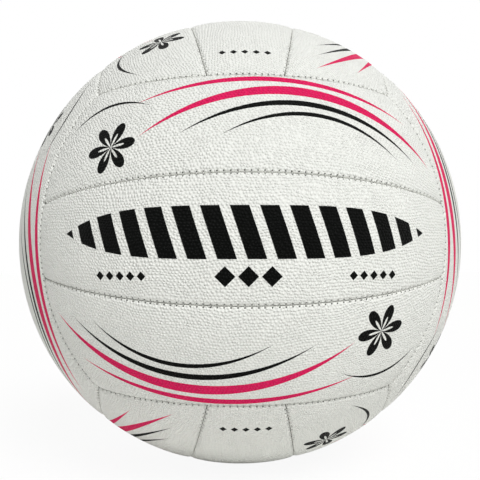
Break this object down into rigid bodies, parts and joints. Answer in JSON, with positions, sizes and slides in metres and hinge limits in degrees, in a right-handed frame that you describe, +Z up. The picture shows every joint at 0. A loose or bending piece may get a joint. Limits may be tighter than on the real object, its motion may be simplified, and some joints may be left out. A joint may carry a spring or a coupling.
{
  "type": "netball",
  "caption": "Stitched netball with strip-shaped pebbled rubber panels over fabric linings, an inner bladder and a needle valve.",
  "frame": {"origin": "centre of the ball", "axes": "+Z up through the valve, -Y out of the front face whose strips lie level, +X to its right"},
  "size_m": [0.2228, 0.2228, 0.2227],
  "materials": {
    "cover": "pebbled, satin",
    "lining": "woven laminate",
    "thread": "waxed thread",
    "bladder": "smooth butyl",
    "valve": "moulded rubber",
    "plug": "soft rubber"
  },
  "bodies": {
    "root": {"front_upper_panel": "cover", "front_middle_panel": "cover", "front_lower_panel": "cover", "back_upper_panel": "cover", "back_middle_panel": "cover", "back_lower_panel": "cover", "left_front_panel": "cover", "left_middle_panel": "cover", "left_rear_panel": "cover", "right_front_panel": "cover", "right_middle_panel": "cover", "right_rear_panel": "cover", "top_left_panel": "cover", "top_middle_panel": "cover", "top_right_panel": "cover", "bottom_left_panel": "cover", "bottom_middle_panel": "cover", "bottom_right_panel": "cover", "front_upper_lining": "lining", "front_middle_lining": "lining", "front_lower_lining": "lining", "back_upper_lining": "lining", "back_middle_lining": "lining", "back_lower_lining": "lining", "left_front_lining": "lining", "left_middle_lining": "lining", "left_rear_lining": "lining", "right_front_lining": "lining", "right_middle_lining": "lining", "right_rear_lining": "lining", "top_left_lining": "lining", "top_middle_lining": "lining", "top_right_lining": "lining", "bottom_left_lining": "lining", "bottom_middle_lining": "lining", "bottom_right_lining": "lining", "front_stitching": "thread", "back_stitching": "thread", "left_stitching": "thread", "right_stitching": "thread", "top_stitching": "thread", "bottom_stitching": "thread", "front_top_stitching": "thread", "front_bottom_stitching": "thread", "back_top_stitching": "thread", "back_bottom_stitching": "thread", "left_front_stitching": "thread", "left_rear_stitching": "thread", "right_front_stitching": "thread", "right_rear_stitching": "thread", "top_left_stitching": "thread", "top_right_stitching": "thread", "bottom_left_stitching": "thread", "bottom_right_stitching": "thread", "bladder": "bladder", "valve_housing": "valve", "valve_plug": "plug"}
  },
  "joints": []
}
